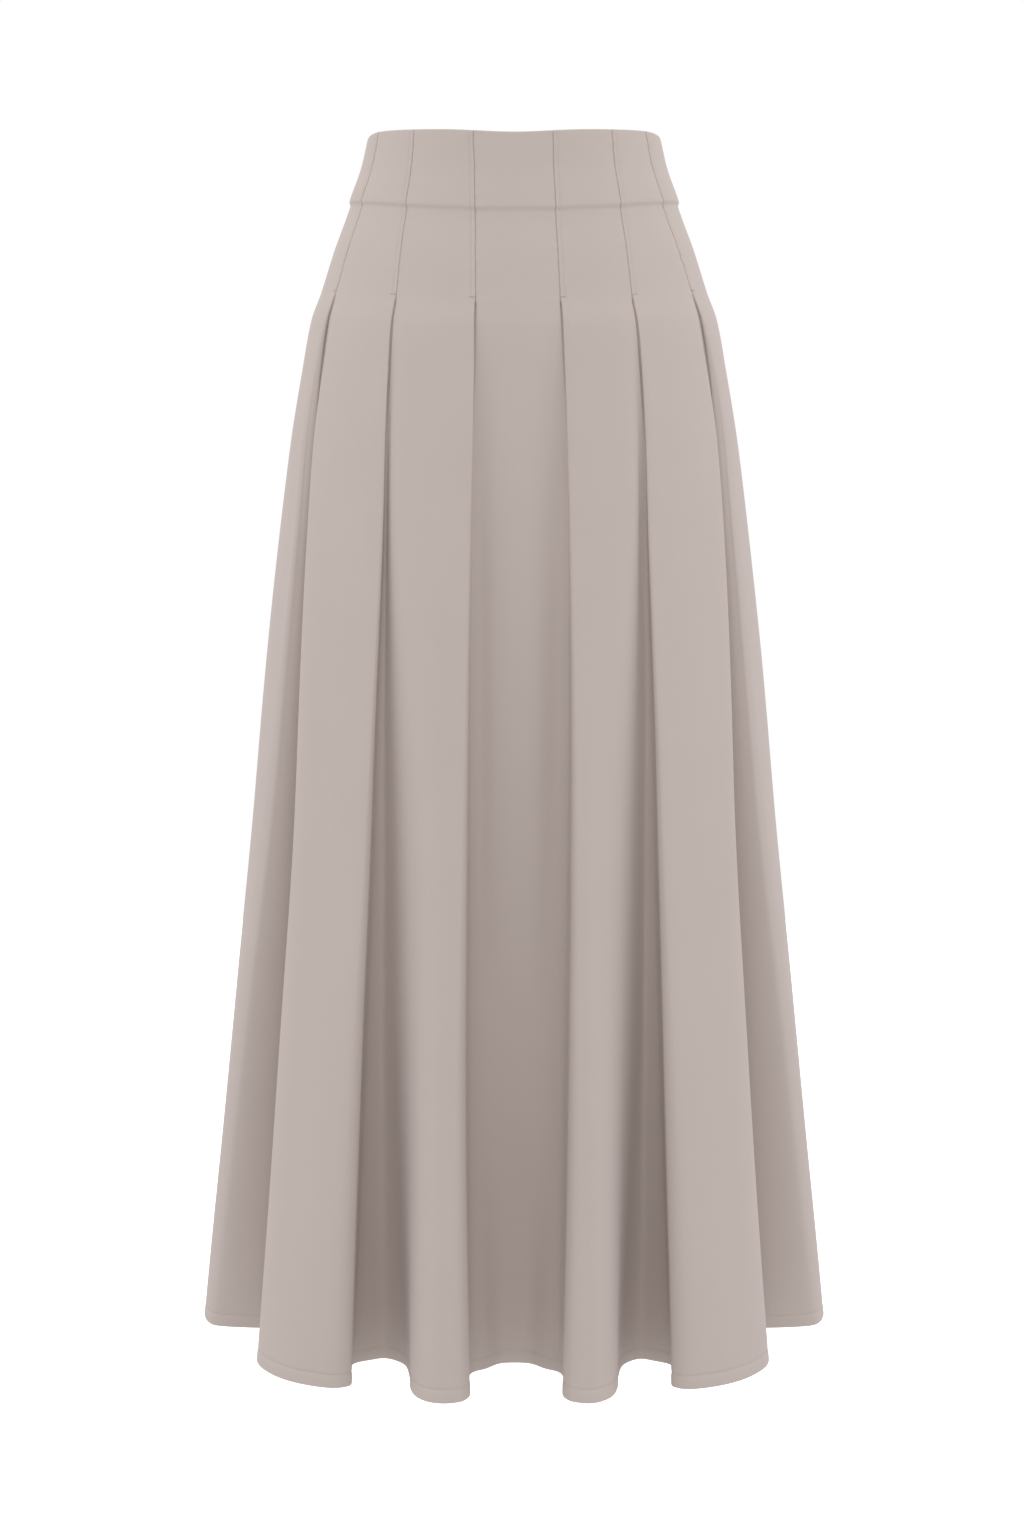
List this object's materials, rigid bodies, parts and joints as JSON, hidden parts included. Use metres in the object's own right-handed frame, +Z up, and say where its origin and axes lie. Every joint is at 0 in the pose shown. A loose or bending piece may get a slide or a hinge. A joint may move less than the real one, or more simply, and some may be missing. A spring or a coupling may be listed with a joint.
{
  "type": "pleated maxi skirt",
  "caption": "High-waisted maxi skirt of plain matt crepe, with vertical seams that open below the hip into deep hanging pleats and a flared, level hem.",
  "frame": {"origin": "centre of the waist opening, level with the top edge at the sides, where the wearer's waist holds the skirt", "axes": "+Z up along the body, the wearer faces -Y, +X towards the wearer's left side; the hem is level"},
  "size_m": [0.5286, 0.4542, 0.9897],
  "materials": {
    "crepe": "matt, fine pebbled crepe weave in a warm grey-taupe",
    "zip_tape": "woven tape with a closed coil, dyed to match the cloth",
    "zip_enamel": "satin enamel, dyed to match the cloth"
  },
  "bodies": {
    "skirt": {"gore_front_centre": "crepe", "gore_front_left_inner": "crepe", "gore_front_left_outer": "crepe", "gore_side_left": "crepe", "gore_back_left_outer": "crepe", "gore_back_left_inner": "crepe", "gore_back_centre_left": "crepe", "gore_back_centre_right": "crepe", "gore_back_right_inner": "crepe", "gore_back_right_outer": "crepe", "gore_side_right": "crepe", "gore_front_right_outer": "crepe", "gore_front_right_inner": "crepe", "zip_chain": "zip_tape", "zip_slider": "zip_enamel"},
    "zip_pull_tab": {"zip_pull": "zip_enamel"}
  },
  "joints": [
    {"name": "pull_tab_hinge", "type": "hinge", "parent": "skirt", "child": "zip_pull_tab", "pos_m": [0, 0.10006, -0.0176], "axis": [1, 0, 0], "range_deg": [0, 150]}
  ]
}
